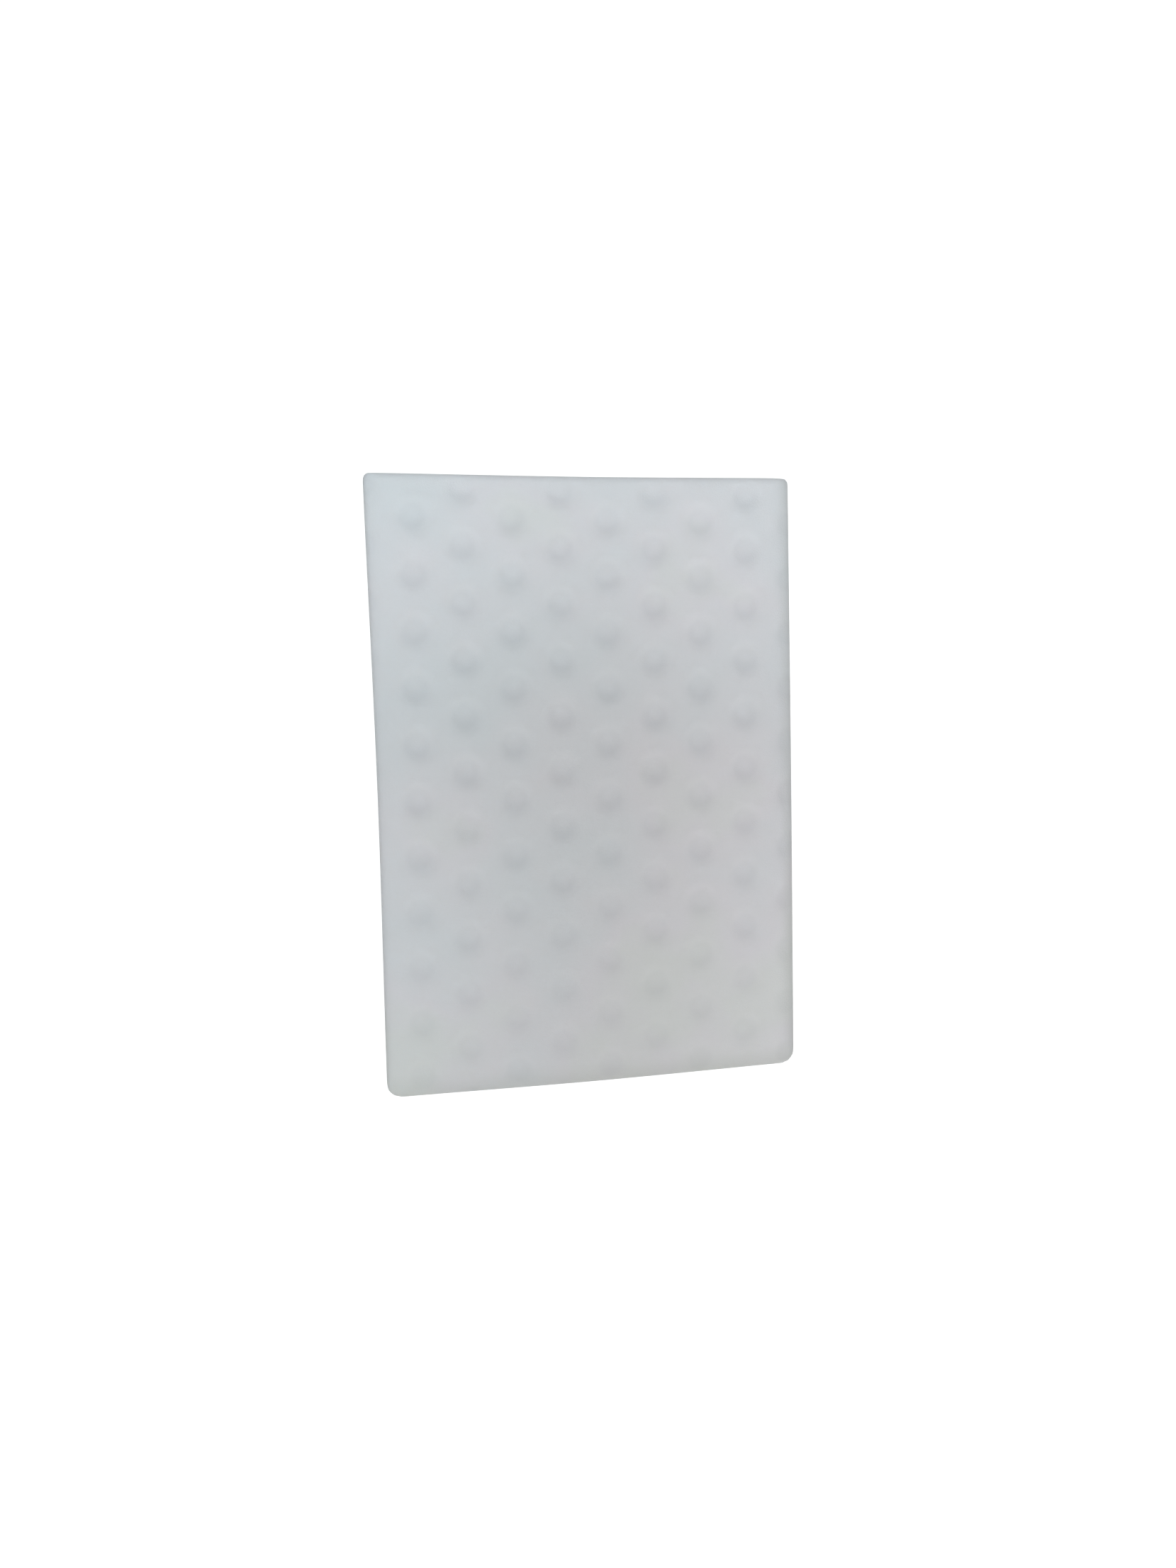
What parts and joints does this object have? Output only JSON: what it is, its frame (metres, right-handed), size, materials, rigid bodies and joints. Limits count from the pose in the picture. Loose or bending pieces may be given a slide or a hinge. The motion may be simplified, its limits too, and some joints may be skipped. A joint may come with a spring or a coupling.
{
  "type": "nail buffer block",
  "caption": "Rectangular laminated foam buffing block with staggered round dimples pressed into both working faces.",
  "frame": {"origin": "middle of the back working face, which the block lies on", "axes": "+X across the 70 mm width, +Y along the 100 mm length towards the crisp corners, +Z out of the front working face"},
  "size_m": [0.07, 0.1, 0.03],
  "materials": {
    "pad_foam": "soft white open-cell foam with a very fine matte surface, slightly denser and greyer in the pressed dimples",
    "core_foam": "firmer closed-cell white foam with visible fine cells on its cut sides",
    "bond_film": "thin translucent hot-melt adhesive film, seen only as a fine line between the foams"
  },
  "bodies": {
    "root": {"front_pad": "pad_foam", "front_bond_film": "bond_film", "core": "core_foam", "back_bond_film": "bond_film", "back_pad": "pad_foam"}
  },
  "joints": []
}
